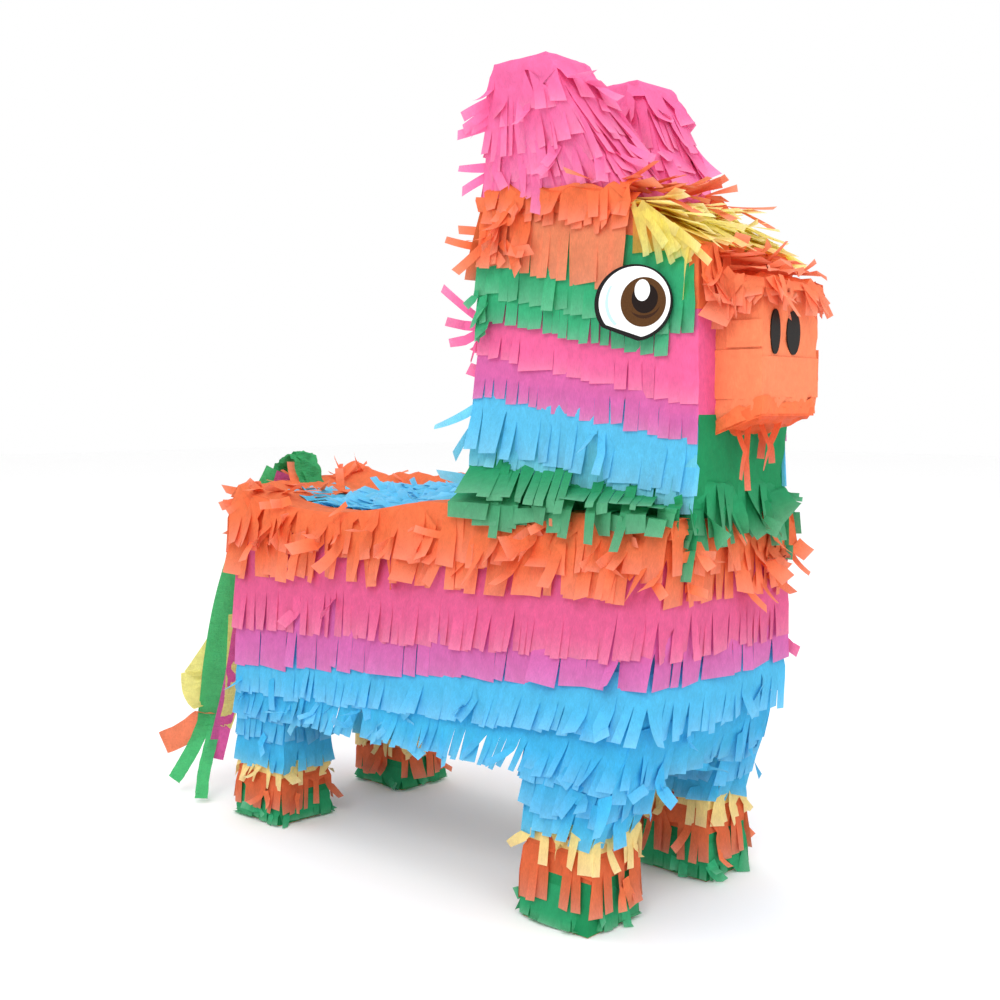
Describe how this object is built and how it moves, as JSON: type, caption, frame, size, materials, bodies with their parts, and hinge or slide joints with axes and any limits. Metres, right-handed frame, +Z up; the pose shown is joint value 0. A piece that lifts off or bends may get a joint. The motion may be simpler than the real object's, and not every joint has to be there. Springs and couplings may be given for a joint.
{
  "type": "donkey pinata",
  "caption": "Hollow cardboard donkey covered in rows of fringed tissue paper, with a hinged filling flap in its back and crepe paper tail streamers.",
  "frame": {"origin": "on the floor, under the middle of the bounding box", "axes": "+X towards the nose, +Y towards the animal's left side, +Z up"},
  "size_m": [0.3955, 0.1408, 0.414],
  "materials": {
    "cardboard": "corrugated cardboard, matte",
    "tissue_orange": "tissue paper, matte",
    "tissue_coral": "tissue paper, matte",
    "tissue_yellow": "tissue paper, matte",
    "tissue_green": "tissue paper, matte",
    "tissue_pink": "tissue paper, matte",
    "tissue_hot_pink": "tissue paper, matte",
    "tissue_mauve": "tissue paper, matte",
    "tissue_blue": "tissue paper, matte",
    "crepe_green": "crepe paper, matte",
    "crepe_yellow": "crepe paper, matte",
    "crepe_orange": "crepe paper, matte",
    "crepe_pink": "crepe paper, matte",
    "printed_eye": "printed glossy card",
    "black_paper": "matte paper"
  },
  "bodies": {
    "donkey": {"body_side_right": "cardboard", "body_side_left": "cardboard", "front_panel": "cardboard", "rump_panel": "cardboard", "belly_panel": "cardboard", "back_panel": "cardboard", "leg_front_right": "cardboard", "leg_front_left": "cardboard", "leg_rear_right": "cardboard", "leg_rear_left": "cardboard", "sole_front_right": "cardboard", "sole_front_left": "cardboard", "sole_rear_right": "cardboard", "sole_rear_left": "cardboard", "head_side_right": "cardboard", "head_side_left": "cardboard", "nape_panel": "cardboard", "crown_panel": "cardboard", "forehead_panel": "cardboard", "muzzle_box": "cardboard", "ear_right": "cardboard", "ear_left": "cardboard", "hanger_plate": "cardboard", "back_cover": "tissue_orange", "body_fringe_orange": "tissue_orange", "body_fringe_pink": "tissue_pink", "body_fringe_mauve": "tissue_mauve", "body_fringe_blue": "tissue_blue", "leg_fringe_blue": "tissue_blue", "leg_fringe_yellow": "tissue_yellow", "leg_fringe_orange": "tissue_coral", "leg_fringe_green": "tissue_green", "head_fringe_orange": "tissue_coral", "head_fringe_green": "tissue_green", "head_fringe_pink": "tissue_hot_pink", "head_fringe_mauve": "tissue_mauve", "head_fringe_blue": "tissue_blue", "neck_fringe_green": "tissue_green", "forehead_fringe_yellow": "tissue_yellow", "ear_fringe_right": "tissue_hot_pink", "ear_fringe_left": "tissue_hot_pink", "muzzle_wrap": "tissue_orange", "nostril_right": "black_paper", "nostril_left": "black_paper", "eye_right": "printed_eye", "eye_left": "printed_eye", "tail_root": "crepe_green"},
    "flap": {"fill_flap": "cardboard", "flap_fringe": "tissue_blue"},
    "tail": {"tail_green": "crepe_green", "tail_yellow": "crepe_yellow", "tail_orange": "crepe_orange", "tail_pink": "crepe_pink"}
  },
  "joints": [
    {"name": "flap_hinge", "type": "hinge", "parent": "donkey", "child": "flap", "pos_m": [-0.117, 0, 0.1869], "axis": [0, -1, 0], "range_deg": [0, 100]},
    {"name": "tail_swing", "type": "hinge", "parent": "donkey", "child": "tail", "pos_m": [-0.181, 0, 0.2035], "axis": [0, 1, 0], "range_deg": [0, 60]}
  ]
}
